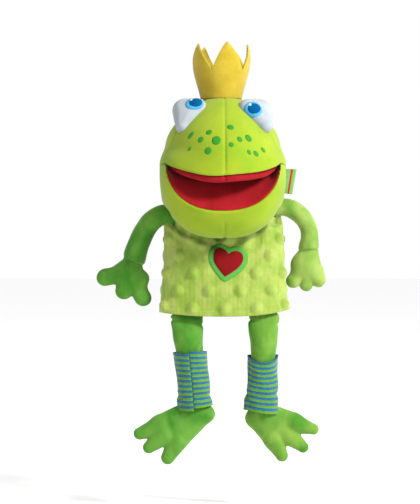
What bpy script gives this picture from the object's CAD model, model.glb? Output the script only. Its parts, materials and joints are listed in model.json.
import json
import math

import bpy
import numpy as np
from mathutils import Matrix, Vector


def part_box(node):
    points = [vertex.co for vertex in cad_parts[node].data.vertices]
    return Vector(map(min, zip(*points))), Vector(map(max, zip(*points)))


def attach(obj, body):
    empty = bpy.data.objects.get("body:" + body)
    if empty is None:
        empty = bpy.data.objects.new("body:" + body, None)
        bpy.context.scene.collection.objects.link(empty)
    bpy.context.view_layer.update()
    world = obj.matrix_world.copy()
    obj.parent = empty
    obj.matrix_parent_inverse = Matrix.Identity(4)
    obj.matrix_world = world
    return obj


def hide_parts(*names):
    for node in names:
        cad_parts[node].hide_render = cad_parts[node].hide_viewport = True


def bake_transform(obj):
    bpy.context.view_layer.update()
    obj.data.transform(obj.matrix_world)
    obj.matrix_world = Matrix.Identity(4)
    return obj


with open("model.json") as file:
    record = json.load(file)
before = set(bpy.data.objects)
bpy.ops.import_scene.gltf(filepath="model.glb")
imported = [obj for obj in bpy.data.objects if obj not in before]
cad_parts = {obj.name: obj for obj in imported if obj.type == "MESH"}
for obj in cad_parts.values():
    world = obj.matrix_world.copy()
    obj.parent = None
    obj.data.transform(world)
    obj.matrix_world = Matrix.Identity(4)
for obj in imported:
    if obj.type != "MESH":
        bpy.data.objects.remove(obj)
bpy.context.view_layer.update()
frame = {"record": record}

import openvdb
from mathutils import Vector
from mathutils.bvhtree import BVHTree

# Lengths are millimetres, turned into metres where a mesh is made.  Only the flat sizes of the
# sheets, the lights, the floor and the camera are in metres.  Left is -X, the front is -Y.
MM = 0.001
SIDES = ("left", "right")


def cad_point(name):
    """A joint's place in mm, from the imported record."""
    for joint in frame["record"]["behaviour"]["joints"]:
        if joint["name"] == name:
            return [1000.0 * v for v in joint["pos_m"]]
    raise KeyError(name)


def cad_box_mm(node):
    low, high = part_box(node)
    return [1000.0 * v for v in low], [1000.0 * v for v in high]


HINGE_Y, HINGE_Z = cad_point("jaw")[1:]
ARM_Y = cad_point("wrist_left")[1]
LEG_Y = cad_point("hip_left")[1]


# -------- smooth tables and fields

def catmull(rows, count):
    """Rows of numbers, spread out to count rows on a smooth curve through them."""
    rows = np.array(rows, float)
    padded = np.vstack([rows[0], rows, rows[-1]])
    t = np.linspace(0, len(rows) - 1, count)
    k = np.minimum(t.astype(int), len(rows) - 2)
    f = (t - k)[:, None]
    a, b, c, d = (padded[k + i] for i in range(4))
    return 0.5 * (2 * b + (c - a) * f + (2 * a - 5 * b + 4 * c - d) * f ** 2
                  + (3 * b - a - 3 * c + d) * f ** 3)


def unit(value):
    return np.clip(value, 0.0, 1.0)


def blend_min(a, b, k):
    """The lesser of two fields, rounded off over k mm where they meet."""
    h = unit(0.5 + 0.5 * (b - a) / k)
    return b * (1 - h) + a * h - k * h * (1 - h)


def blend_max(a, b, k):
    return -blend_min(-a, -b, k)


def blend_all(fields, k):
    whole = fields[0]
    for field in fields[1:]:
        whole = blend_min(whole, field, k)
    return whole


def bump(distance, width):
    return np.exp(-(distance / width) ** 2)


def bone(p, a, b, radius_a, radius_b, middle_y, flat):
    """Field of a tapered rod between two points of the XZ plane, flattened in depth."""
    x, y, z = p
    along_x, along_z = b[0] - a[0], b[1] - a[1]
    t = unit(((x - a[0]) * along_x + (z - a[1]) * along_z) / (along_x ** 2 + along_z ** 2))
    distance = np.sqrt((x - a[0] - t * along_x) ** 2 + (z - a[1] - t * along_z) ** 2
                       + ((y - middle_y) / flat) ** 2)
    return (distance - radius_a - (radius_b - radius_a) * t) * min(1.0, flat + 0.2)


def field_mesh(low, high, cell, field):
    """Points in mm and quads of the surface where field(x, y, z) is zero; it is negative inside."""
    axes = [np.arange(a, b + cell, cell, dtype=np.float32) for a, b in zip(low, high)]
    x, y, z = np.meshgrid(*axes, indexing="ij")
    grid = openvdb.FloatGrid(10.0)
    grid.copyFromArray(np.ascontiguousarray(field(x, y, z), np.float32))
    points, quads = grid.convertToQuads(isovalue=0.0)
    points = points.astype(float) * cell + np.array(low, float)
    quads = quads.astype(int)
    a, b, c = (points[quads[:, i]] for i in range(3))
    if np.einsum("ij,ij->i", a, np.cross(b, c)).sum() < 0:
        quads = quads[:, ::-1]
    return points, quads


def add_object(name, data):
    thing = bpy.data.objects.new(name, data)
    bpy.context.scene.collection.objects.link(thing)
    return thing


def add_piece(name, points, faces, material):
    """A mesh object from points in mm."""
    mesh = bpy.data.meshes.new(name)
    mesh.from_pydata((np.asarray(points, float) * MM).tolist(), [], [tuple(f) for f in faces])
    mesh.materials.append(material)
    mesh.update()
    mesh.shade_smooth()
    return add_object(name, mesh)


def hand_over(piece, body, replaced=()):
    """Says which body carries a piece, or the two it bends between, and what it stands for."""
    if isinstance(body, str):
        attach(piece, body)
    else:
        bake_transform(piece)
    if replaced:
        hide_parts(*replaced)


def grown(name, low, high, cell, field, material):
    """A piece that is the surface of a field."""
    return add_piece(name, *field_mesh(low, high, cell, field), material)


def grid_faces(rows, columns, start=0, wrap=False, flip=False):
    """Quads between the points of a grid that is kept row by row."""
    faces = []
    for i in range(rows - 1):
        for j in range(columns if wrap else columns - 1):
            k = (j + 1) % columns
            quad = (start + i * columns + j, start + i * columns + k,
                    start + (i + 1) * columns + k, start + (i + 1) * columns + j)
            faces.append(quad[::-1] if flip else quad)
    return faces


def grid_points(x, y, z):
    """Points (rows, columns, 3) from coordinates that may each be one row or one column."""
    return np.stack(np.broadcast_arrays(x, y, z), axis=-1)


def slab(outer, inner):
    """Closed solid between two grids of points of the same shape (rows, columns, 3)."""
    rows, columns = outer.shape[:2]
    points = np.vstack([outer.reshape(-1, 3), inner.reshape(-1, 3)])
    shift = rows * columns
    faces = grid_faces(rows, columns) + grid_faces(rows, columns, shift, flip=True)
    rim = list(range(columns)) + [i * columns + columns - 1 for i in range(1, rows)]
    rim += [(rows - 1) * columns + j for j in range(columns - 2, -1, -1)]
    rim += [i * columns for i in range(rows - 2, 0, -1)]
    for a, b in zip(rim, rim[1:] + rim[:1]):
        faces.append((b, a, a + shift, b + shift))
    return points, faces


def ring_solid(outer, inner):
    """Closed solid between two tubes of points (rows, columns, 3), open along the middle."""
    rows, columns = outer.shape[:2]
    points = np.vstack([outer.reshape(-1, 3), inner.reshape(-1, 3)])
    shift = rows * columns
    faces = grid_faces(rows, columns, wrap=True)
    faces += grid_faces(rows, columns, shift, wrap=True, flip=True)
    for start, turn in ((0, 1), ((rows - 1) * columns, -1)):
        for j in range(columns):
            k = (j + 1) % columns
            quad = (start + k, start + j, start + j + shift, start + k + shift)
            faces.append(quad[::turn])
    return points, faces


def grid_normals(points):
    """Unit normals of a grid of points (rows, columns, 3)."""
    normal = np.cross(np.gradient(points, axis=1), np.gradient(points, axis=0))
    return normal / np.maximum(np.linalg.norm(normal, axis=2, keepdims=True), 1e-9)


def closed_piece(name, points, faces, material):
    """A piece whose faces are turned outwards where its volume came out negative."""
    piece = add_piece(name, points, faces, material)
    mesh = piece.data
    mesh.calc_loop_triangles()
    places = np.array([v.co for v in mesh.vertices])
    corners = np.array([t.vertices for t in mesh.loop_triangles])
    a, b, c = (places[corners[:, i]] for i in range(3))
    if np.einsum("ij,ij->i", a, np.cross(b, c)).sum() < 0:
        mesh.flip_normals()
    return piece


def paint(piece, grid, material, chosen):
    """Gives a slab's faces a second material where chosen(row, column) says so."""
    rows, columns = grid.shape[:2]
    piece.data.materials.append(material)
    marks = []
    for polygon in piece.data.polygons:
        row, column = divmod(min(polygon.vertices) % (rows * columns), columns)
        marks.append(int(chosen(row, column)))
    piece.data.polygons.foreach_set("material_index", marks)


# -------- materials

COLOUR_A, COLOUR_B, COLOUR_RESULT = 6, 7, 2      # the Mix node's colour sockets


class Shader:
    """Short names for the nodes that the cloth materials share."""

    def __init__(self, name):
        self.material = bpy.data.materials.new(name)
        self.material.use_nodes = True
        self.nodes = self.material.node_tree.nodes
        self.links = self.material.node_tree.links
        self.main = self.nodes["Principled BSDF"]
        self.place = self.nodes.new("ShaderNodeTexCoord").outputs["Object"]

    def fill(self, node, values):
        """Sets a node's inputs; a value that is another node's socket is linked."""
        for key, value in values.items():
            if isinstance(value, bpy.types.NodeSocket):
                self.links.new(value, node.inputs[key])
            else:
                node.inputs[key].default_value = value
        return node

    def add(self, kind, values):
        return self.fill(self.nodes.new(kind), values)

    def set(self, **values):
        names = {"roughness": "Roughness", "sheen": "Sheen Weight",
                 "sheen_roughness": "Sheen Roughness", "sheen_tint": "Sheen Tint",
                 "specular": "Specular IOR Level"}
        self.fill(self.main, {names[key]: value for key, value in values.items()})

    def stretched(self, scale):
        return self.add("ShaderNodeMapping",
                        {"Vector": self.place, "Scale": scale}).outputs["Vector"]

    def noise(self, size, detail=3.0, place=None, rough=0.55, twist=0.0):
        """Noise whose features are about size mm across."""
        values = {"Vector": place or self.place, "Scale": 1.0 / (size * MM), "Detail": detail,
                  "Roughness": rough, "Distortion": twist}
        return self.add("ShaderNodeTexNoise", values).outputs["Fac"]

    def bands(self, size, direction="X", twist=1.0):
        node = self.add("ShaderNodeTexWave", {
            "Vector": self.place, "Scale": math.pi / 10.0 / (size * MM), "Distortion": twist,
            "Detail": 2.0, "Detail Scale": 3.0})
        node.wave_type = "BANDS"
        node.bands_direction = direction
        return node.outputs["Fac"]

    def cells(self, size, place=None):
        values = {"Vector": place or self.place, "Scale": 1.0 / (size * MM)}
        return self.add("ShaderNodeTexVoronoi", values).outputs["Distance"]

    def ramp(self, value, low, high, colours):
        node = self.add("ShaderNodeValToRGB", {"Fac": value})
        stops = node.color_ramp.elements
        stops[0].position, stops[1].position = low, high
        stops[0].color, stops[1].color = colours[0] + (1.0,), colours[1] + (1.0,)
        return node.outputs["Color"]

    def darkened(self, colour, value, low, high, dark):
        """A colour times a shade that goes from dark to white as value goes from low to high."""
        dark = dark if isinstance(dark, tuple) else (dark,) * 3
        shade = self.ramp(value, low, high, (dark, (1.0, 1.0, 1.0)))
        node = self.nodes.new("ShaderNodeMix")
        node.data_type = "RGBA"
        node.blend_type = "MULTIPLY"
        self.fill(node, {"Factor": 1.0, COLOUR_A: colour, COLOUR_B: shade})
        return node.outputs[COLOUR_RESULT]

    def sum(self, first, second, weight=1.0):
        """The first value plus weight times the second."""
        node = self.add("ShaderNodeMath", {0: second, 1: weight, 2: first})
        node.operation = "MULTIPLY_ADD"
        return node.outputs["Value"]

    def finish(self, colour, height, depth_mm):
        """The material, with its colour and a relief of depth_mm."""
        relief = self.add("ShaderNodeBump", {"Strength": 1.0, "Distance": depth_mm * MM,
                                             "Height": height})
        self.fill(self.main, {"Base Color": colour, "Normal": relief.outputs["Normal"]})
        return self.material


def smooth_fabric(name, deep, light, fine=0.5, depth=0.10, patch=28.0):
    """Brushed jersey: short fuzz, a faint knit and slow changes of shade."""
    s = Shader(name)
    s.set(roughness=0.88, sheen=0.12, sheen_roughness=0.45, specular=0.2)
    slow = s.noise(patch, 2.0)
    fuzz = s.noise(fine, 4.0)
    colour = s.ramp(slow, 0.30, 0.72, (deep, light))
    colour = s.darkened(colour, fuzz, 0.25, 0.75, 0.86)
    height = s.sum(fuzz, s.cells(fine * 1.3), 0.5)
    return s.finish(colour, height, depth)


def pile_fabric(name, deep, light, patch=20.0, sheen=0.6, tint=(0.85, 1.0, 0.65)):
    """Velour: a dense short pile that shows lighter and darker where it was stroked."""
    s = Shader(name)
    s.set(roughness=0.95, sheen=sheen, sheen_roughness=0.35, sheen_tint=tint + (1.0,),
          specular=0.12)
    strokes = s.noise(patch, 2.5, s.stretched((1.0, 1.0, 0.62)), 0.5, 0.6)
    pile = s.noise(0.45, 3.0)
    tufts = s.noise(1.8, 2.0)
    colour = s.ramp(strokes, 0.34, 0.66, (deep, light))
    colour = s.darkened(colour, pile, 0.25, 0.75, 0.80)
    height = s.sum(pile, tufts, 0.8)
    return s.finish(colour, height, 0.22)


def plush_fabric(name, deep, light):
    """Dotted plush: pile laid in fine upright ribs."""
    s = Shader(name)
    s.set(roughness=0.95, sheen=0.5, sheen_roughness=0.4, sheen_tint=(0.9, 1.0, 0.7, 1.0),
          specular=0.12)
    ribs = s.bands(1.15, "X", 2.2)
    strokes = s.noise(11.0, 3.0, s.stretched((1.0, 1.0, 0.7)), 0.55, 0.4)
    pile = s.noise(0.5, 3.0, s.stretched((1.0, 1.0, 0.35)))
    colour = s.ramp(strokes, 0.34, 0.68, (deep, light))
    colour = s.darkened(colour, ribs, 0.0, 1.0, 0.90)
    colour = s.darkened(colour, pile, 0.28, 0.72, 0.84)
    height = s.sum(pile, ribs, 0.7)
    return s.finish(colour, height, 0.30)


def felt(name, deep, light, sheen=0.2):
    """Felt: matted fibres with no weave."""
    s = Shader(name)
    s.set(roughness=0.96, sheen=sheen, sheen_roughness=0.5, specular=0.1)
    fibres = s.noise(0.9, 6.0, None, 0.7, 1.6)
    slow = s.noise(14.0, 2.0)
    colour = s.ramp(slow, 0.3, 0.7, (deep, light))
    colour = s.darkened(colour, fibres, 0.25, 0.75, (0.82, 0.80, 0.76))
    return s.finish(colour, fibres, 0.16)


def stitched(name, deep, light, size=0.45, shine=0.15):
    """Satin stitch: shiny threads laid side by side."""
    s = Shader(name)
    s.set(roughness=0.6, sheen=0.02, sheen_roughness=0.4, specular=shine)
    threads = s.bands(size, "DIAGONAL", 0.6)
    fuzz = s.noise(0.4, 3.0)
    colour = s.ramp(threads, 0.0, 1.0, (deep, light))
    height = s.sum(threads, fuzz, 0.3)
    return s.finish(colour, height, 0.10)


def knit(name, deep, light):
    """Fine rib knit: small upright loops."""
    s = Shader(name)
    s.set(roughness=0.9, sheen=0.3, sheen_roughness=0.4, specular=0.15)
    columns = s.bands(0.9, "X", 0.8)
    loops = s.cells(0.75, s.stretched((1.0, 1.0, 0.7)))
    colour = s.ramp(loops, 0.0, 0.75, (light, deep))
    colour = s.darkened(colour, columns, 0.0, 1.0, 0.82)
    height = s.sum(columns, loops, -0.8)
    return s.finish(colour, height, 0.22)


LIME = smooth_fabric("lime_jersey", (0.168, 0.268, 0.006), (0.240, 0.308, 0.010))
PLUSH = plush_fabric("dotted_plush", (0.190, 0.300, 0.032), (0.310, 0.375, 0.082))
GREEN = pile_fabric("green_velour", (0.050, 0.180, 0.014), (0.150, 0.275, 0.040))
# the same velour where its pile lies away from the light, and towards it
GREEN_DEEP = pile_fabric("green_velour_shaded", (0.030, 0.155, 0.011), (0.095, 0.245, 0.030))
GREEN_PALE = pile_fabric("green_velour_brushed", (0.078, 0.205, 0.018), (0.230, 0.325, 0.068))
RED = pile_fabric("red_velour", (0.215, 0.004, 0.006), (0.280, 0.006, 0.011), 20.0, 0.10,
                  (1.0, 0.5, 0.5))
YELLOW = felt("yellow_felt", (0.325, 0.238, 0.012), (0.395, 0.295, 0.024))
WHITE = smooth_fabric("white_jersey", (0.262, 0.294, 0.315), (0.310, 0.336, 0.358),
                      0.45, 0.08, 22.0)
IRIS = stitched("light_blue_stitch", (0.035, 0.220, 0.400), (0.065, 0.300, 0.480))
PUPIL = stitched("deep_blue_stitch", (0.000, 0.045, 0.140), (0.000, 0.075, 0.200), 0.45, 0.02)
GLINT = stitched("white_stitch", (0.50, 0.56, 0.60), (0.62, 0.64, 0.66), 0.35)
SPOT = stitched("spot_stitch", (0.016, 0.160, 0.008), (0.028, 0.210, 0.013), 0.40)
BORDER = stitched("border_stitch", (0.040, 0.200, 0.022), (0.075, 0.270, 0.040), 0.50)
HEART = felt("heart_felt", (0.140, 0.002, 0.003), (0.172, 0.003, 0.005), 0.04)
KNIT_BLUE = knit("knit_blue", (0.006, 0.075, 0.170), (0.022, 0.140, 0.260))
KNIT_GREEN = knit("knit_green", (0.060, 0.190, 0.012), (0.130, 0.285, 0.030))
RIBBON = stitched("green_ribbon", (0.100, 0.250, 0.045), (0.155, 0.320, 0.080), 0.35)
RIBBON_BAND = stitched("red_ribbon_band", (0.240, 0.012, 0.010), (0.320, 0.020, 0.014), 0.35)
LINING = smooth_fabric("lining_cotton", (0.20, 0.29, 0.08), (0.28, 0.35, 0.13), 0.7, 0.12)


# -------- head

# height, half width, front, back: much the outline of the CAD head, with a rounder end below
HEAD_LEVELS = ((195.4, 2.5, -10.0, -5.0), (194.4, 12.0, -18.0, 4.5), (191.7, 19.8, -26.0, 13.0),
               (185.2, 29.8, -36.0, 23.0), (175.0, 41.4, -47.0, 32.5), (160.0, 51.4, -60.0, 40.5),
               (142.0, 55.0, -69.0, 44.6), (125.0, 57.0, -72.0, 44.6), (111.0, 57.4, -68.0, 41.5),
               (100.0, 55.6, -60.0, 36.0), (91.0, 48.0, -48.0, 30.0))
HEAD_BOTTOM = 84.0
MOUTH_HALF = 49.8
UPPER_LIP_Z, CORNER_Z = 120.8, 132.6
LOWER_LIP_DROP, LOWER_LIP_REACH = 40.4, 52.0
JAW_ROUND = 55.2
HEAD_TRIM = 0.96
HEAD_X = -1.2                    # the head sits a little to its right
SEAM_X = 1.6                     # the middle seam, from the middle of the head
JAW_FULLNESS = 2.5
# turn about the hinge line from straight down to the front, and the reach there
JAW_REACH = ((-180.0, 20.0), (-110.0, 30.0), (-60.0, 44.5), (-30.0, 50.5), (-12.0, 57.0),
             (0.0, 64.2), (12.0, 66.4), (25.0, 61.5), (43.5, 52.0), (70.0, 49.0), (95.0, 40.0),
             (130.0, 25.0), (180.0, 20.0))
SPLIT_Y, SPLIT_Z, SPLIT = 0.8, 0.6, 52.0     # the cheek turns into the chin past this plane
SPLIT_SOFT = 20.0

HEAD_TABLE = catmull(HEAD_LEVELS, 400)[::-1]
JAW_TABLE = np.array(JAW_REACH)


def head_shape(z):
    """Half width, front, middle and back of the head at heights z."""
    z = np.clip(z, HEAD_TABLE[0, 0], HEAD_TABLE[-1, 0])
    width, front, back = (np.interp(z, HEAD_TABLE[:, 0], HEAD_TABLE[:, i]) for i in (1, 2, 3))
    width = width * HEAD_TRIM
    return width, front, front * 0.45 + back * 0.55, back


def head_field(x, y, z):
    width, front, middle, back = head_shape(z)
    reach = np.where(y < middle, middle - front, back - middle)
    ratio = np.sqrt((x / width) ** 2 + ((y - middle) / reach) ** 2)
    field = (ratio - 1.0) * np.minimum(width, reach)
    top = HEAD_TABLE[-1, 0]
    field = np.where(z > top, np.hypot(np.maximum(field, 0.0), z - top), field)
    turn = np.degrees(np.arctan2(np.abs(x) / width, (middle - y) / reach))
    seam = 67.0 - np.clip(z - CORNER_Z, 0.0, 60.0) * 0.31
    side = bump((turn - seam) * width * math.pi / 180.0, 0.9)
    side = side * unit((z - CORNER_Z + 2.0) / 6.0)
    middle_seam = 1.4 * bump(x - SEAM_X, 0.75) + 0.35 * bump(x - SEAM_X, 3.2)
    puckers = 0.10 * np.sin(z * 1.7) * bump(np.abs(x - SEAM_X) - 2.0, 1.6)
    swell = 0.35 * np.sin(x / 17.0 + z / 23.0) + 0.25 * np.sin(z / 11.0 - y / 13.0)
    field = field + 1.1 * side + 0.65 * middle_seam + puckers - swell
    return blend_max(field, HEAD_BOTTOM - z, 8.0)


def front_of_head(x, z):
    width, front, middle, _ = head_shape(z)
    return middle - (middle - front) * np.sqrt(np.maximum(0.0, 1.0 - (x / width) ** 2))


def around_hinge(y, z):
    """Distance from the hinge line, and the turn from straight down to the front in degrees."""
    reach = np.hypot(y - HINGE_Y, z - HINGE_Z)
    return reach, np.degrees(np.arctan2(HINGE_Y - y, HINGE_Z - z))


def from_hinge(x, y, z):
    """Distance across from the head's middle, distance from the hinge line, and turn."""
    return (x - HEAD_X,) + around_hinge(y, z)


def upper_turn(x):
    side = np.minimum(np.abs(x), MOUTH_HALF)
    lip = UPPER_LIP_Z + (CORNER_Z - UPPER_LIP_Z) * (side / MOUTH_HALF) ** 2
    wave = 0.7 * np.sin(x / 9.0) * (1.0 - (side / MOUTH_HALF) ** 2)
    return 90.0 - np.degrees(np.arctan2(HINGE_Z - lip - wave, HINGE_Y - front_of_head(side, 125.0)))


def lower_turn(x):
    side = np.minimum(np.abs(x), MOUTH_HALF)
    drop = LOWER_LIP_DROP * np.sqrt(1.0 - (side / MOUTH_HALF) ** 2) - (CORNER_Z - HINGE_Z)
    reach = LOWER_LIP_REACH * np.sqrt(1.0 - (side / JAW_ROUND) ** 2)
    return np.degrees(np.arccos(np.clip(drop / reach, -0.2, 1.0)))


def jaw_reach(turn):
    """Reach of the jaw from the hinge line, with the table's corners rounded off."""
    return sum(np.interp(turn + k, JAW_TABLE[:, 0], JAW_TABLE[:, 1]) for k in (-9, -3, 3, 9)) / 4.0


def jaw_field(x, y, z):
    reach, turn = around_hinge(y, z)
    full = jaw_reach(turn)
    side = np.abs(x) / JAW_ROUND
    ratio = ((reach / full) ** JAW_FULLNESS + side ** JAW_FULLNESS) ** (1.0 / JAW_FULLNESS)
    dart = bump(x - SEAM_X, 0.8) * unit((83.0 - z) / 4.0)
    return (ratio - 1.0) * np.minimum(full, JAW_ROUND) + 0.9 * dart


def rise(turn, limit, reach):
    """How far a point is past a turn about the hinge, in mm."""
    return reach * np.sin(np.radians(np.clip(turn - limit, -90.0, 90.0)))


def lip_softness(x):
    """How round the lip edges are; they close up past the corners of the mouth."""
    return 0.05 + 1.6 * unit((MOUTH_HALF - 1.0 - np.abs(x)) / 6.0)


def whole_face(x, y, z):
    return blend_min(jaw_field(x, y, z), head_field(x, y, z), 6.0)


def past_split(y, z):
    return SPLIT - SPLIT_Y * y - SPLIT_Z * z


def upper_head(x, y, z):
    x, reach, turn = from_hinge(x, y, z)
    skin = whole_face(x, y, z)
    above = -reach * np.sin(np.radians(turn - upper_turn(x)))
    field = np.minimum(blend_max(skin, above, lip_softness(x)), np.maximum(skin, past_split(y, z)))
    mouth = np.maximum(-rise(turn, lower_turn(x), reach), rise(turn, upper_turn(x), reach))
    inside = np.where((np.abs(turn) < 120.0) & (reach > 1.0), mouth, 5.0)
    return np.maximum(field, -inside)


def lower_head(x, y, z):
    x, reach, turn = from_hinge(x, y, z)
    skin = whole_face(x, y, z)
    field = blend_max(skin, rise(turn, lower_turn(x), reach), lip_softness(x))
    return np.maximum(field, -past_split(y, z) - 0.4)


def upper_palate(x, y, z):
    x, reach, turn = from_hinge(x, y, z)
    side = np.minimum(np.abs(x), MOUTH_HALF)
    share = 1.0 - (side / MOUTH_HALF) ** 2
    thick = (2.0 + 4.6 * share ** 0.3 + x / 60.0) * np.clip(reach / 30.0, 0.1, 1.0)
    height = rise(turn, upper_turn(x), reach)
    roll = blend_max(height - 0.4, -height - thick, 0.8)
    field = blend_max(roll, head_field(x, y, z) + 0.4, 0.6 + 2.8 * share)
    return np.maximum(field, np.maximum(1.5 - reach, np.abs(x) - MOUTH_HALF - 1.5))


def lower_palate(x, y, z):
    x, reach, turn = from_hinge(x, y, z)
    full = jaw_reach(turn)
    height = rise(turn, lower_turn(x), reach)
    thick = 1.5 + 1.6 * np.sin(unit(reach / full) * math.pi) ** 2
    pad = blend_max(-height - 0.4, height - thick * np.clip(reach / 22.0, 0.1, 1.0), 0.8)
    field = blend_max(pad, jaw_field(x, y, z) + 0.6, 2.0)
    return np.maximum(field, np.maximum(1.5 - reach, np.abs(x) - MOUTH_HALF - 0.5))


def split_ends():
    """Start and end of the bend between head and jaw, on a line square to the split plane."""
    across = np.array([0.0, -SPLIT_Y, -SPLIT_Z])
    foot = np.array([0.0, -0.048, 0.064]) + across * -SPLIT * MM
    return tuple(foot), tuple(foot + across * SPLIT_SOFT * MM)


def make_head():
    panels = ("face_panel_left", "face_panel_right", "back_panel_left", "back_panel_right")
    bend = ("head", "jaw") + split_ends()
    head = grown("head_skin", (-59.0, -78.0, 78.0), (59.0, 48.0, 202.0), 0.9, upper_head, LIME)
    hand_over(head, "head",
              panels + ("head_filling", "finger_pocket", "upper_mouth_board"))
    chin = grown("chin_skin", (-59, -66, 64), (59, 20, 138), 0.9, lower_head, LIME)
    hand_over(chin, bend,
              ("chin_panel_left", "chin_panel_right", "lower_mouth_board", "thumb_pocket"))
    roll = grown("upper_palate_roll", (-54, -76, 108), (54, -18, 138), 0.75, upper_palate, RED)
    hand_over(roll, "head", ("upper_palate",))
    tongue = grown("lower_palate_pad", (-54, -66, 86), (54, -18, 138), 0.75, lower_palate, RED)
    hand_over(tongue, bend, ("lower_palate",))
    return head


# -------- patches laid on a surface

PATCH_SUNK = 0.5                 # how deep a patch reaches below the surface


def surface_of(piece):
    mesh = piece.data
    points = [v.co.copy() for v in mesh.vertices]
    return BVHTree.FromPolygons(points, [tuple(p.vertices) for p in mesh.polygons])


def hit(tree, place, direction, reach=30.0):
    """Point and normal where a ray from outside meets a surface, or the nearest one, in metres."""
    direction = Vector(direction).normalized()
    point, normal, _, _ = tree.ray_cast(Vector(place) - direction * reach * MM, direction)
    if point is None:
        point, normal, _, _ = tree.find_nearest(Vector(place))
    if normal.dot(direction) > 0:
        normal = -normal
    return point, normal


def from_front(tree, x, z):
    """Point and normal of what is seen from the front at a place in mm."""
    return hit(tree, Vector((x, -100.0, z)) * MM, (0, 1, 0), 60.0)


def patch(name, tree, centre, direction, outline, height, material, rings=5, sides=36, edge=0.5):
    """A thin raised patch, laid on a surface along direction; outline(turn) is in mm."""
    direction = Vector(direction).normalized()
    side = direction.cross(Vector((0, 0, 1))).normalized()
    up = side.cross(direction).normalized()
    centre = Vector(centre) * MM
    top, bottom = [], []
    for k in range(rings + 1):
        share = 1.0 - k / rings
        rise_here = height * (edge + (1.0 - edge) * (1.0 - share ** 4)) if k else height * edge
        for j in range(sides if share > 0 else 1):
            p, q = outline(2 * math.pi * j / sides)
            place = centre + (side * p + up * q) * share * MM
            point, normal = hit(tree, place, direction)
            top.append((point + normal * rise_here * MM) / MM)
            bottom.append((point - normal * PATCH_SUNK * MM) / MM)
    points = [tuple(v) for v in top + bottom]
    shift = len(top)
    faces = []
    for start, flip in ((0, False), (shift, True)):
        faces += grid_faces(rings, sides, start, wrap=True, flip=flip)
        last = start + (rings - 1) * sides
        for j in range(sides):
            tri = (last + j, last + (j + 1) % sides, start + rings * sides)
            faces.append(tri[::-1] if flip else tri)
    for j in range(sides):
        k = (j + 1) % sides
        faces.append((k, j, j + shift, k + shift))
    return closed_piece(name, points, faces, material)


def oval(half_wide, half_tall, tilt=0.0):
    c, s = math.cos(math.radians(tilt)), math.sin(math.radians(tilt))

    def outline(turn):
        p, q = half_wide * math.cos(turn), half_tall * math.sin(turn)
        return p * c - q * s, p * s + q * c
    return outline


# across, height, half width, half height, tilt in degrees
SPOTS = ((-29.1, 157.2, 2.0, 3.8, -35), (-13.4, 159.1, 2.8, 2.4, 20), (-20.5, 152.7, 2.5, 2.9, -30),
         (-7.1, 151.7, 3.9, 4.2, 0), (-30.2, 144.9, 1.4, 2.0, -30), (-14.1, 142.7, 3.2, 3.2, 0),
         (5.2, 163.6, 3.0, 2.6, -25), (20.6, 154.0, 2.7, 3.6, 35), (13.0, 152.8, 2.1, 2.8, 35),
         (5.8, 148.0, 2.3, 2.2, 0), (33.4, 144.2, 1.9, 2.7, 35), (21.0, 141.6, 1.6, 2.4, 30),
         (27.0, 140.5, 2.1, 2.9, 35))


def make_spots(tree):
    for number, (x, z, wide, tall, tilt) in enumerate(SPOTS):
        point, normal = from_front(tree, x, z)
        direction = (Vector((0, 1, 0)) - normal.normalized()) * 0.5
        spot = patch("spot_%02d" % (number + 1), tree, point / MM, direction,
                     oval(wide, tall, tilt), 0.28, SPOT, 3, 24)
        hand_over(spot, "head")


# -------- eyes

# three corner balls (place and radius) that a skin is drawn tight over, and its fuller middle
EYES = {
    "left": {"balls": (((-35.2, -24.0, 180.8), 10.6), ((-24.2, -29.0, 182.2), 9.0),
                       ((-36.2, -36.0, 165.4), 6.4)),
             "middle": (-31.5, -31.0, 176.5), "iris": (-26.2, 187.2), "iris_size": (8.0, 6.9),
             "look": (-0.05, 0.78, -0.62)},
    "right": {"balls": (((31.4, -24.5, 180.0), 10.8), ((20.6, -29.5, 181.6), 9.0),
                        ((35.6, -37.0, 166.4), 6.6)),
              "middle": (28.6, -31.5, 175.5), "iris": (25.2, 180.8), "iris_size": (8.1, 7.7),
              "look": (-0.08, 0.97, -0.22)},
}
EYE_PUFF, EYE_PUFF_REACH = 2.2, 11.0


def cone(p, a, radius_a, b, radius_b):
    """Field of a round rod whose radius changes from one end to the other."""
    along = b - a
    t = unit((p - a) @ along / (along @ along))
    distance = np.linalg.norm(p - a - t[..., None] * along, axis=-1)
    return distance - radius_a - (radius_b - radius_a) * t


def drawn_skin(p, balls):
    """Field of a skin drawn tight over three balls."""
    (a, b, c), sizes = np.array([place for place, _ in balls]), np.array([r for _, r in balls])
    normal = np.cross(b - a, c - a)
    area = normal @ normal
    share_b = np.cross(p - a, c - a) @ normal / area
    share_c = np.cross(b - a, p - a) @ normal / area
    share_a = 1.0 - share_b - share_c
    radius = share_a * sizes[0] + share_b * sizes[1] + share_c * sizes[2]
    face = np.abs((p - a) @ normal) / math.sqrt(area) - radius
    over = (share_a >= 0) & (share_b >= 0) & (share_c >= 0)
    edges = np.minimum(cone(p, a, sizes[0], b, sizes[1]), cone(p, b, sizes[1], c, sizes[2]))
    edges = np.minimum(edges, cone(p, c, sizes[2], a, sizes[0]))
    return np.where(over, np.minimum(face, edges), edges)


def eye_field(eye):
    def field(x, y, z):
        p = np.stack([x, y, z], axis=-1).astype(float)
        reach = np.linalg.norm(p - np.array(eye["middle"]), axis=-1)
        whole = drawn_skin(p, eye["balls"]) - EYE_PUFF * bump(reach, EYE_PUFF_REACH)
        return whole + 0.12 * np.sin(x / 3.1 + z / 4.0) * np.sin(z / 5.0)
    return field


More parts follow.
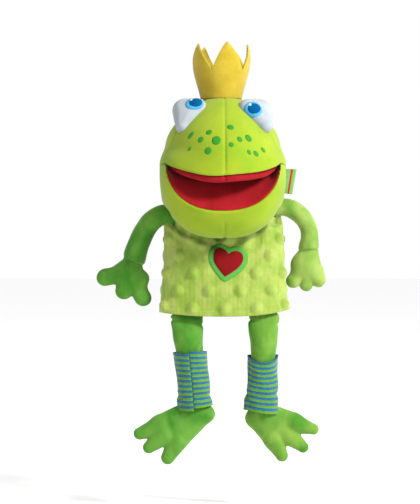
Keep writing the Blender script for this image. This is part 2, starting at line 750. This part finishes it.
def make_eyes():
    for side in SIDES:
        eye = EYES[side]
        places = np.array([place for place, _ in eye["balls"]])
        low, high = places.min(axis=0) - 13.0, places.max(axis=0) + 13.0
        white = grown("eye_" + side, low, high, 0.6, eye_field(eye), WHITE)
        hand_over(white, "head", ("eye_white_" + side,))
        tree = surface_of(white)
        wide, tall = eye["iris_size"]
        point, _ = from_front(tree, *eye["iris"])
        look = eye["look"]
        iris = patch("iris_patch_" + side, tree, point / MM, look, oval(wide, tall, 8), 0.30, IRIS)
        hand_over(iris, "head", ("iris_" + side,))
        middle = point / MM + Vector((1.0, 0.0, 0.9))
        pupil = patch("pupil_patch_" + side, tree, middle, look, oval(5.7, 5.2, 0), 0.55, PUPIL)
        hand_over(pupil, "head", ("pupil_" + side,))
        place = point / MM + Vector((-2.6, 0.0, 4.4))
        glint = patch("glint_" + side, tree, place, look, oval(1.3, 1.2, 0), 0.75, GLINT, 2, 16)
        hand_over(glint, "head")


# -------- crown

CROWN_Z, CROWN_MIDDLE_Y, CROWN_RADIUS = 193.0, -7.5, 18.6
CROWN_X = -2.6
CROWN_TALL, CROWN_NOTCH = 48.4, 23.5
FELT_THICK = 1.7
# each petal's tip and its two edges, in degrees from the front, and its bend outwards
PETALS = ((13.0, -20.0, 50.0, 0.0), (86.0, 50.0, 118.0, 1.4), (153.0, 118.0, 187.0, -0.6),
          (221.0, 187.0, 262.0, 0.4), (292.0, 262.0, 340.0, -0.4))


def crown_radius(height):
    flare = 7.6 * math.sin(min(height / 37.0, 1.0) * math.pi / 2) ** 1.25
    return CROWN_RADIUS + flare - 0.018 * max(height - 35.0, 0.0) ** 2


def petal_grid(tip, low, high, bend):
    """Outer points of a petal, narrowing to its tip above the notches."""
    rows, columns = 36, 31
    outer = np.zeros((rows, columns, 3))
    for i in range(rows):
        height = CROWN_TALL * i / (rows - 1)
        above = max(0.0, (height - CROWN_NOTCH) / (CROWN_TALL - CROWN_NOTCH))
        share = max(0.012, (1.0 - above) ** 0.66 * (1.0 - 0.08 * above))
        for j in range(columns):
            side = 2.0 * j / (columns - 1) - 1.0
            to_tip = min(1.0, above * 4.0)
            middle = tip * to_tip + (low + high) / 2.0 * (1.0 - to_tip)
            half = (high - middle if side > 0 else middle - low) + 0.3
            angle = math.radians(middle + half * share * side)
            radius = crown_radius(height) + bend * above ** 2 - 1.3 * above * side ** 2
            drop = 0.8 * math.cos(angle) * (1.0 - height / CROWN_TALL)
            outer[i, j] = (CROWN_X + radius * math.sin(angle),
                           CROWN_MIDDLE_Y - radius * math.cos(angle), CROWN_Z + height - drop)
    return outer


def make_crown():
    """Five felt petals that grow out of one band."""
    for number, petal_shape in enumerate(PETALS):
        outer = petal_grid(*petal_shape)
        normals = grid_normals(outer)
        ripple = 0.12 * np.sin(outer[..., 0] * 2.3) * np.sin(outer[..., 2] * 1.9)
        outer = outer + normals * ripple[..., None]
        middle = np.array([CROWN_X, CROWN_MIDDLE_Y, 215.0])
        outward = np.sign((normals * (outer - middle)).sum(axis=2))
        inner = outer - normals * FELT_THICK * outward[..., None]
        name = "crown_petal_%d" % (number + 1)
        petal = closed_piece(name, *slab(outer, inner), YELLOW)
        soften_edges(petal, 0.45)
        hand_over(petal, "head", () if number else ("crown",))


def soften_edges(piece, width_mm):
    """Rounds the cut edges of a piece."""
    modifier = piece.modifiers.new("edges", "BEVEL")
    modifier.width = width_mm * MM
    modifier.segments = 2
    modifier.limit_method = "ANGLE"
    modifier.angle_limit = math.radians(50.0)
    modifier.use_clamp_overlap = True


# -------- glove

GLOVE_LEVELS = ((0.0, 58.4, 24.0, 0.0), (22.0, 57.2, 24.0, 2.0), (44.0, 55.4, 23.5, 5.0),
                (62.0, 55.2, 21.5, 8.0), (74.0, 54.6, 17.5, 8.0), (84.0, 53.4, 12.0, 8.0),
               (93.0, 51.0, 6.0, 8.0))
GLOVE_TABLE = catmull(GLOVE_LEVELS, 200)
SQUARENESS = 2.6
HEM_DROP = 0.3
NECKLINE_FRONT, NECKLINE_BACK = 68.0, 78.0
SHOULDER_Z, SHOULDER_START = 92.0, 0.86      # the start is a share of the half width
LEFT_DROP, RIGHT_DROP = 9.0, 4.5             # how far the shoulders' outer ends slope off
DOT_PITCH, DOT_ROW, DOT_RADIUS, DOT_HEIGHT = 28.4, 15.4, 6.5, 3.4
DOT_FIRST = (-1.2, 6.2)
HEART_PLACE, HEART_TILT = (2.8, 46.5), 9.0


def bag_point(turn, z, grow=0.0):
    """Points of the bag at turns from the front, in radians, and heights."""
    width, depth, middle = (np.interp(z, GLOVE_TABLE[:, 0], GLOVE_TABLE[:, i]) for i in (1, 2, 3))
    power = 2.0 / SQUARENESS
    s, c = np.sin(turn), np.cos(turn)
    x = (width + grow) * np.sign(s) * np.abs(s) ** power
    y = middle - (depth + grow) * np.sign(c) * np.abs(c) ** power
    return grid_points(x, y, z)


def dots(across, z):
    """Height of the plush dots; across is measured along the cloth from the middle."""
    height = np.zeros_like(across)
    for row in range(-1, 7):
        centre_z = DOT_FIRST[1] + DOT_ROW * row
        shift = DOT_FIRST[0] + (DOT_PITCH / 2.0 if row % 2 else 0.0)
        nearest = np.round((across - shift) / DOT_PITCH) * DOT_PITCH + shift
        distance = np.hypot(across - nearest, z - centre_z)
        height = np.maximum(height, unit(1.0 - (distance / DOT_RADIUS) ** 2) ** 1.5)
    return DOT_HEIGHT * height


def panel_top(turn, side, back):
    """Height of a panel's upper edge."""
    neckline = NECKLINE_BACK if back else NECKLINE_FRONT
    shoulder = unit((np.abs(side) - SHOULDER_START) / (1.0 - SHOULDER_START))
    top = neckline + (SHOULDER_Z - neckline) * unit(np.abs(side) / SHOULDER_START) ** 1.7
    on_left = (turn > 0) == back
    return top - np.where(on_left, LEFT_DROP, RIGHT_DROP) * shoulder ** 2.2


def panel_folds(x, z, across, near_top, back):
    """Gathers under the upper edge, slow folds, and in front two creases down from the neck."""
    folds = 2.8 * near_top ** 1.3 * np.sin(across / 2.9 + 1.4 * np.sin(z / 8.0))
    folds += 3.4 * near_top * np.sin(across / 6.1 + 1.3 + z / 13.0)
    if not back:
        sweep = z - 63.0 - 0.55 * np.abs(x + 3.0) + 1.5 * np.sin(x / 7.0)
        folds += 2.4 * bump(sweep, 2.8) - 2.2 * bump(sweep + 6.0, 3.0)
        folds += 1.6 * bump(sweep + 12.0, 3.2) * unit(np.abs(x) / 18.0)
    return folds + 0.8 * np.sin(across / 13.0 + z / 17.0 + 0.6) * np.sin(z / 26.0 + 0.4)


def panel_relief(x, z, across, side, top, back):
    """How far a panel stands out from the bag: folds, dots, hem and side seams."""
    near_top = unit((z - top + 24.0) / 24.0)
    from_heart = np.hypot(x - HEART_PLACE[0], z - HEART_PLACE[1])
    clear = 1.0 if back else unit((from_heart - 13.0) / 7.0)
    edge = unit(1.0 - np.abs(side))
    calm = np.clip(edge / 0.02, 0.35, 1.0)
    calm = calm * np.clip(1.0 - near_top, 0.0, 0.85) / 0.85
    hem = 0.35 * bump(z - 2.0, 2.6) - 0.3 * bump(z - 5.2, 1.0)
    folds = panel_folds(x, z, across, near_top, back) * unit(edge / 0.05) * clear
    return folds + dots(across, z) * clear * calm + hem - 0.8 * bump(edge / 0.012, 1.0)


def hang(points, x, z, side, top):
    """Draws a panel in at the collar, and lets its hem droop and flare."""
    low = unit(1.0 - z / 30.0)
    points[..., 1] += (8.0 - points[..., 1]) * 0.22 * unit((z - top + 7.0) / 7.0) ** 2
    points[..., 2] -= (1.2 * np.cos(x / 58.0 * math.pi / 2) - 1.6 * np.abs(side) ** 3) * low
    points[..., 2] += np.where(x > 0, 3.6, 0.8) * np.abs(side) ** 3 * low
    flare = 1.8 * unit(1.0 - z / 16.0) ** 2 * np.abs(side) ** 4
    points[..., 0] += np.where(x > 0, 1.0, 0.3) * flare * np.sign(x)


def glove_grid(back):
    """Outer points of one panel, with its folds, gathers and dots."""
    rows, columns = 110, 190
    seam = 0.01
    turn = np.linspace(-math.pi / 2 + seam, math.pi / 2 - seam, columns)[None, :]
    side = np.sign(np.sin(turn)) * np.abs(np.sin(turn)) ** (2.0 / SQUARENESS)
    top = panel_top(turn, side, back)
    z = np.linspace(0.0, 1.0, rows)[:, None] * (top + HEM_DROP) - HEM_DROP
    points = bag_point(turn + math.pi if back else turn, z)
    steps = np.linalg.norm(np.diff(points, axis=1), axis=2)
    across = np.concatenate([np.zeros((rows, 1)), np.cumsum(steps, axis=1)], axis=1)
    across = across - across[:, columns // 2][:, None]
    normals = grid_normals(points)
    outward = (normals * (points - np.array([0.0, 5.0, 40.0]))).sum(axis=2)
    normals = normals * np.sign(outward)[..., None]
    x = points[..., 0]
    points = points + normals * panel_relief(x, z, across, side, top, back)[..., None]
    hang(points, x, z, side, top)
    return points


def glove_inside(points):
    """The panel's inner face: the same grid drawn in towards the middle of the bag."""
    inner = points.copy()
    middle = np.interp(points[..., 2], GLOVE_TABLE[:, 0], GLOVE_TABLE[:, 3])
    inner[..., 0] *= 0.962
    inner[..., 1] = middle + (points[..., 1] - middle) * 0.86
    return inner


def make_glove():
    panels = []
    for name, back in (("front", False), ("back", True)):
        points = glove_grid(back)
        panel = closed_piece("glove_plush_" + name, *slab(points, glove_inside(points)), PLUSH)
        hand_over(panel, "glove", ("glove_%s_panel" % name,))
        panels.append(panel)
    make_lining()
    return panels[0]


def make_lining():
    turn = np.linspace(0, 2 * math.pi, 97)[:-1][None, :]
    heights = np.linspace(3.2, 60.0, 24)[:, None]
    ripple = 0.5 * np.sin(turn * 14.0) * unit(heights / 40.0)
    skins = []
    for grow in (-3.9, -5.0):
        skin = bag_point(turn, heights, grow)
        skin[..., 1] += ripple
        skins.append(skin)
    lining = closed_piece("glove_lining", *ring_solid(*skins), LINING)
    hand_over(lining, "glove", ("hem_facing",))


def heart_outline(half_wide, half_tall, grow=0.0):
    """Outline of a plump heart, tilted, with a band of an even width round it."""
    turns = np.linspace(0.0, 2 * math.pi, 181)
    x = np.sign(np.sin(turns)) * np.abs(np.sin(turns)) ** 2.2 * half_wide
    z = (13 * np.cos(turns) - 4.2 * np.cos(2 * turns) - 1.6 * np.cos(3 * turns)
         - 0.5 * np.cos(4 * turns)) / 15.2 * half_tall + 0.10 * half_tall
    along_x, along_z = np.gradient(x), np.gradient(z)
    length = np.maximum(np.hypot(along_x, along_z), 1e-6)
    x, z = x - along_z / length * grow, z + along_x / length * grow
    angle = np.unwrap(np.arctan2(x, z))
    order = np.argsort(angle)
    c, s = math.cos(math.radians(HEART_TILT)), math.sin(math.radians(HEART_TILT))

    def outline(turn):
        p = float(np.interp(turn, angle[order], x[order]))
        q = float(np.interp(turn, angle[order], z[order]))
        return p * c + q * s, q * c - p * s
    return outline


def make_heart(glove_front):
    tree = surface_of(glove_front)
    centre = (HEART_PLACE[0], -40.0, HEART_PLACE[1])
    half_wide, half_tall, band = 13.6, 13.8, 4.2
    border = patch("heart_border", tree, centre, (0, 1, 0),
                   heart_outline(half_wide, half_tall, band), 1.1, BORDER, 10, 90, 0.35)
    hand_over(border, "glove", ("heart_backing",))
    heart = patch("heart_felt_piece", tree, centre, (0, 1, 0),
                  heart_outline(half_wide, half_tall), 1.9, HEART, 10, 90, 0.62)
    hand_over(heart, "glove", ("heart",))


def make_neck():
    low, high = cad_box_mm("neck_sleeve")
    middle_y = (low[1] + high[1]) / 2.0
    turn = np.linspace(0, 2 * math.pi, 145)[:-1][None, :]
    heights = np.linspace(low[2] - 2.0, high[2], 30)[:, None]
    share = (heights - low[2]) / (high[2] - low[2])
    waist = 1.0 - 0.05 * np.sin(share * math.pi)
    pleats = 0.6 * np.sin(turn * 22.0 + 2.0 * np.sin(heights / 6.0))

    def ring(less):
        x = ((high[0] - 0.5 - less) * waist + pleats) * np.sin(turn)
        y = middle_y - ((middle_y - low[1] - 0.5 - less) * waist + pleats) * np.cos(turn)
        return grid_points(x, y, heights)
    sleeve = closed_piece("neck_gather", *ring_solid(ring(0.0), ring(1.2)), LIME)
    start, end = ((0.0, middle_y * MM, z * MM) for z in (low[2], low[2] + 24.0))
    hand_over(sleeve, ("glove", "neck", start, end), ("neck_sleeve",))


# -------- limbs

ARMS = {
    "left": ((-47.0, 88.0, 8.6), (-55.6, 89.6, 9.4), (-64.4, 84.8, 9.6), (-72.0, 74.6, 9.8),
             (-77.6, 61.8, 10.2), (-81.8, 48.0, 10.8)),
    "right": ((47.0, 95.0, 7.6), (53.0, 96.6, 8.0), (61.4, 94.8, 8.6), (70.0, 88.6, 8.6),
              (75.6, 79.6, 8.0), (77.6, 69.0, 8.2), (76.6, 58.0, 9.6)),
}
# palm middle and radius, the direction across the wrist seam, the bulge beside the palm, and
# each finger's tip and radius
HANDS = {
    "left": {"palm": ((-86.0, 36.0), 13.0), "wrist": (-0.42, -0.91), "side": ((-76.0, 32.0), 9.0),
             "tips": (((-107.4, 33.0), 8.2), ((-90.4, 21.0), 8.5), ((-73.4, 14.4), 8.2))},
    "right": {"palm": ((74.4, 44.0), 13.4), "wrist": (0.05, -1.0), "side": ((80.0, 38.0), 10.0),
              "tips": (((63.0, 30.0), 7.2), ((74.6, 26.0), 6.6), ((85.4, 30.4), 7.2))},
}
# an ankle and a heel, then each toe's tip and radius
FEET = {
    "left": {"ankle": (-27.6, -87.0), "heel": (-17.0, -89.0),
             "tips": (((-75.4, -106.6), 5.6), ((-67.2, -118.6), 5.6), ((-50.4, -127.8), 5.8))},
    "right": {"ankle": (34.5, -89.0), "heel": (27.6, -92.5),
              "tips": (((79.6, -102.4), 5.2), ((70.4, -118.4), 5.5), ((51.6, -125.8), 5.5))},
}


ARM_SPAN, FOOT_SPAN = (34.0, 122.0), (2.0, 90.0)     # across, from the middle outwards


def between(a, b, share):
    return a[0] + (b[0] - a[0]) * share, a[1] + (b[1] - a[1]) * share


def seam_groove(p, middle_y, depth=0.8):
    return depth * bump(p[1] - middle_y, 0.9)


def cloth_lumps(p, size, amount):
    x, y, z = p
    return amount * (np.sin(x / size + 1.3 * np.sin(z / size)) * np.sin(z / (size * 0.8) + 0.7)
                     + 0.5 * np.sin(y / size * 1.7 + x / size * 0.6))


def arm_field(side):
    chain = catmull(ARMS[side], 16)
    hand = HANDS[side]
    wrist = ARMS[side][-1]
    palm, palm_radius = hand["palm"]
    side_at, side_radius = hand["side"]
    down = Vector(hand["wrist"]).normalized()

    def field(x, y, z):
        p = (x, y, z)
        arm = np.minimum.reduce([bone(p, a, b, a[2], b[2], ARM_Y, 0.95)
                                 for a, b in zip(chain[:-1], chain[1:])])
        fingers = blend_all([bone(p, between(palm, tip, 0.25), tip, radius * 0.95, radius, ARM_Y,
                                  0.78) for tip, radius in hand["tips"]], 1.2)
        hand_part = bone(p, wrist[:2], palm, 9.0, palm_radius, ARM_Y, 0.62)
        hand_part = blend_min(hand_part, fingers, 5.0)
        bulge = bone(p, palm, side_at, palm_radius, side_radius, ARM_Y, 0.62)
        hand_part = blend_min(hand_part, bulge, 4.0)
        # below is the distance past the wrist seam, towards the fingers
        below = (x - wrist[0]) * down.x + (z - wrist[1]) * down.y
        whole = blend_min(np.maximum(arm, below - 1.0), hand_part, 3.5)
        whole = whole + 0.6 * bump(below, 1.2) + 0.5 * bump(below, 4.0)
        return whole + seam_groove(p, ARM_Y) + cloth_lumps(p, 7.0, 0.28)
    return field


def foot_field(side):
    foot = FEET[side]
    ankle, heel = foot["ankle"], foot["heel"]

    def toe(p, tip, radius):
        middle = between(ankle, tip, 0.62)
        return blend_min(bone(p, ankle, middle, 11.8, 9.6, LEG_Y, 0.70),
                         bone(p, middle, tip, 9.6, radius, LEG_Y, 0.85), 2.0)

    def field(x, y, z):
        p = (x, y, z)
        stub = bone(p, (ankle[0], -68.0), ankle, 9.0, 9.5, LEG_Y, 0.95)
        body = blend_min(bone(p, ankle, heel, 10.0, 8.0, LEG_Y, 0.85), stub, 4.0)
        toes = blend_all([toe(p, tip, radius) for tip, radius in foot["tips"]], 1.6)
        last, last_radius = foot["tips"][-1]
        toes = blend_min(toes, bone(p, heel, last, 8.0, last_radius, LEG_Y, 0.8), 1.5)
        whole = blend_min(body, toes, 4.0)
        return whole + seam_groove(p, LEG_Y + 1.5, 1.0) + cloth_lumps(p, 8.0, 0.3)
    return field


def leg_field(side):
    x_top = cad_point("hip_" + side)[0]
    x_low = FEET[side]["ankle"][0]
    slope = (x_low - x_top) / 78.0

    def field(x, y, z):
        p = (x, y, z)
        middle = x_top + slope * np.clip(-z - 6.0, 0.0, 72.0) * 1.08
        share = unit(-z / 40.0)
        half_wide = (16.0 - 4.4 * share) if side == "left" else (15.2 - 4.6 * share)
        swell = unit((1.5 - z) / 30.0)
        half_deep = 2.0 + 8.2 * swell * (2.0 - swell)
        ratio = np.sqrt(((x - middle) / half_wide) ** 2 + ((y - LEG_Y) / half_deep) ** 2)
        tube = (ratio - 1.0) * np.minimum(half_wide, half_deep)
        ends = np.maximum(z - 5.0, -76.0 - z)
        creases = 0.5 * bump(z + 7.0 + 0.16 * (x - x_top), 1.6)
        return blend_max(tube, ends, 1.0) + seam_groove(p, LEG_Y, 0.5) + creases \
            + cloth_lumps(p, 8.0, 0.35)
    return field


def make_arm(side, sign):
    low_x, high_x = sorted(sign * x for x in ARM_SPAN)
    arm = grown("arm_and_hand_" + side, (low_x, ARM_Y - 15, 2), (high_x, ARM_Y + 15, 108), 0.75,
                arm_field(side), GREEN_DEEP if side == "left" else GREEN_PALE)
    wrist = Vector(cad_point("wrist_" + side))
    down = Vector((HANDS[side]["wrist"][0], 0.0, HANDS[side]["wrist"][1])).normalized()
    bend = ("arm_" + side, "hand_" + side,
            tuple((wrist - down * 5.0) * MM), tuple((wrist + down * 5.0) * MM))
    replaced = [name + side for name in ("arm_root_", "arm_skin_", "arm_filling_",
                                         "hand_front_", "hand_back_", "hand_filling_")]
    hand_over(arm, bend, replaced)


def make_leg(side, hip_x, velour):
    leg = grown("leg_" + side + "_stuffed", (hip_x - 20, LEG_Y - 14, -80),
                (hip_x + 22, LEG_Y + 14, 8), 0.75, leg_field(side), velour)
    hand_over(leg, "leg_" + side, ("leg_skin_" + side, "leg_filling_" + side))


def make_leg_seam(side, hip_x):
    seam = grown("leg_seam_" + side, (hip_x - 15, LEG_Y - 4, -2), (hip_x + 15, LEG_Y + 4, 16), 0.6,
                 tab_field(side), GREEN)
    hand_over(seam, "glove", ("leg_tab_" + side,))


def make_foot(side, sign, velour):
    low_x, high_x = sorted(sign * x for x in FOOT_SPAN)
    foot = grown("foot_" + side + "_stuffed", (low_x, LEG_Y - 15, -140), (high_x, LEG_Y + 15, -56),
                 0.75, foot_field(side), velour)
    ankle = Vector(cad_point("ankle_" + side))
    bend = ("leg_" + side, "foot_" + side,
            tuple((ankle + Vector((0, 0, 9))) * MM), tuple((ankle - Vector((0, 0, 7))) * MM))
    replaced = [name + side for name in ("foot_upper_", "foot_sole_", "foot_filling_")]
    hand_over(foot, bend, replaced)


def make_limbs():
    for side in SIDES:
        sign = -1.0 if side == "left" else 1.0
        velour = GREEN_DEEP if side == "left" else GREEN
        hip_x = cad_point("hip_" + side)[0]
        make_arm(side, sign)
        make_leg(side, hip_x, velour)
        make_foot(side, sign, velour)
        make_leg_seam(side, hip_x)


def tab_field(side):
    middle = cad_point("hip_" + side)[0]

    def field(x, y, z):
        box = np.maximum(np.abs(x - middle) - 11.5, np.maximum(np.abs(y - LEG_Y) - 1.0,
                                                              np.maximum(-0.2 - z, z - 13.0)))
        return box + 0.25 * np.sin(x * 2.1) * bump(z - 6.0, 1.2)
    return field


# -------- leg warmers

STRIPE = 5.05                    # one blue and one green stripe
ROWS_PER_STRIPE, BLUE_ROWS = 10, 5
KNIT_THICK, WARMER_FLAT = 1.3, 0.94
# top, bottom, middle and radius at each, how far the rim dips in front, how many stripes they
# climb in one turn, the seam's turn in degrees, the height of the crumple and the hem's slope
WARMERS = {
    "left": {"top": -33.5, "bottom": -82.5, "middles": (-30.4, -25.6), "radii": (15.2, 15.6),
             "dip": 0.0, "shift": 0.5, "seam": -4.0, "crumple": -72.0, "slope": 1.5,
             "stripes": 11},
    "right": {"top": -36.0, "bottom": -86.0, "middles": (34.8, 33.4), "radii": (13.6, 15.8),
              "dip": 6.5, "shift": 0.15, "seam": -68.0, "crumple": -71.0, "slope": -2.0,
              "stripes": 10},
}


def warmer_grids(w, height):
    """Outer and inner points of a leg warmer, from its top down and round from its seam."""
    t = np.linspace(0.0, 1.0, w["stripes"] * ROWS_PER_STRIPE + 1)[:, None]
    around = np.linspace(0.0, 1.0, 112)[None, :]
    turn = math.radians(w["seam"]) + around * 2 * math.pi
    front = np.cos(turn)
    z = w["top"] - height * t - STRIPE * w["shift"] * (around - 0.5)
    z = z - w["dip"] * unit(front) * (1.0 - t) ** 1.3 - 1.2 * front * t
    z = z + w["slope"] * np.sin(turn) * t
    middle_x = w["middles"][0] + (w["middles"][1] - w["middles"][0]) * t
    radius = w["radii"][0] + (w["radii"][1] - w["radii"][0]) * t - 1.0 * np.sin(t * math.pi)
    pinch = bump(z - w["crumple"] - 2.5 * np.sin(turn * 2.0), 1.9)
    radius = radius - 1.2 * pinch + 0.5 * bump(z - w["crumple"] + 5.0, 2.6)
    radius = radius + 0.35 * np.sin(turn * 3.0 + t * 7.0) + 0.25 * np.sin(turn * 5.0 - t * 11.0)
    course = 0.14 * np.cos(t * w["stripes"] * 2 * math.pi * 2.0)
    rim = 0.3 * bump(t * height, 1.6) + 0.2 * bump((1.0 - t) * height, 1.4)
    seam = np.minimum(around, 1.0 - around) * 2 * math.pi * radius
    radius = radius + course + rim - 0.9 * bump(seam, 0.8)
    return [grid_points(middle_x + reach * np.sin(turn),
                        LEG_Y - reach * WARMER_FLAT * np.cos(turn), z)
            for reach in (radius, radius - KNIT_THICK)]


def make_warmer(side):
    w = WARMERS[side]
    height = w["top"] - w["bottom"]
    outer, inner = warmer_grids(w, height)
    warmer = closed_piece("leg_warmer_knit_" + side, *slab(outer, inner), KNIT_GREEN)
    paint(warmer, outer, KNIT_BLUE, lambda row, column: row % ROWS_PER_STRIPE < BLUE_ROWS)
    hand_over(warmer, "leg_" + side, ("leg_warmer_" + side,))


# -------- ribbon tab

# left and right corner, across and height
TAB_TOP, TAB_LOW = ((53.5, 130.3), (65.0, 129.8)), ((50.8, 108.6), (61.0, 107.4))
TAB_BAND = range(10, 13)


def make_tab():
    low, high = cad_box_mm("seam_tab")
    middle_y = (low[1] + high[1]) / 2.0
    t = np.linspace(0.0, 1.0, 40)[:, None]
    s = np.linspace(0.0, 1.0, 19)[None, :]
    x, z = ((TAB_TOP[0][i] * (1 - s) + TAB_TOP[1][i] * s) * (1 - t)
            + (TAB_LOW[0][i] * (1 - s) + TAB_LOW[1][i] * s) * t for i in (0, 1))
    curl = 0.5 * np.sin(t * 5.0) * s
    half = 0.65 * np.sqrt(np.clip(1.0 - (unit(s - 0.9) / 0.1) ** 2, 0.04, 1.0))
    front = grid_points(x, middle_y - half + curl, z)
    behind = grid_points(x, middle_y + half + curl, z)
    tab = closed_piece("ribbon_tab", *slab(front, behind), RIBBON)
    paint(tab, front, RIBBON_BAND, lambda row, column: column in TAB_BAND)
    hand_over(tab, "head", ("seam_tab",))


# -------- studio

def area_light(name, place, aim, size, power):
    data = bpy.data.lights.new(name, "AREA")
    data.shape = "DISK"
    data.size = size
    data.energy = power
    light = add_object(name, data)
    light.location = place
    light.rotation_euler = (Vector(aim) - Vector(place)).to_track_quat("-Z", "Y").to_euler()


def make_studio():
    scene = bpy.context.scene
    scene.view_settings.view_transform = "Standard"
    world = bpy.data.worlds.new("studio")
    scene.world = world
    world.use_nodes = True
    background = world.node_tree.nodes["Background"]
    background.inputs["Color"].default_value = (1.0, 1.0, 1.0, 1.0)
    background.inputs["Strength"].default_value = 1.0
    paper = bpy.data.materials.new("paper")
    paper.use_nodes = True
    matt = paper.node_tree.nodes["Principled BSDF"].inputs
    matt["Base Color"].default_value = (0.95, 0.95, 0.95, 1)
    matt["Roughness"].default_value = 0.9
    half, floor_z = 12.0, -0.175
    corners = [(-half, -half, floor_z), (half, -half, floor_z), (half, half, floor_z),
               (-half, half, floor_z)]
    mesh = bpy.data.meshes.new("floor")
    mesh.from_pydata(corners, [], [(0, 1, 2, 3)])
    mesh.materials.append(paper)
    add_object("floor", mesh)
    area_light("key", (1.25, -0.95, 1.05), (0.0, 0.0, 0.06), 0.45, 62.0)


def make_camera():
    data = bpy.data.cameras.new("camera")
    data.sensor_width = 36.0
    data.lens = 111.0
    camera = add_object("camera", data)
    camera.location = (-0.0126, -1.4, 0.0558)
    camera.rotation_euler = (math.pi / 2, 0.0, 0.0)
    bpy.context.scene.camera = camera


def make_puppet():
    make_spots(surface_of(make_head()))
    make_eyes()
    make_crown()
    front = make_glove()
    make_heart(front)
    make_neck()
    make_limbs()
    for side in SIDES:
        make_warmer(side)
    make_tab()


make_camera()
make_studio()
make_puppet()
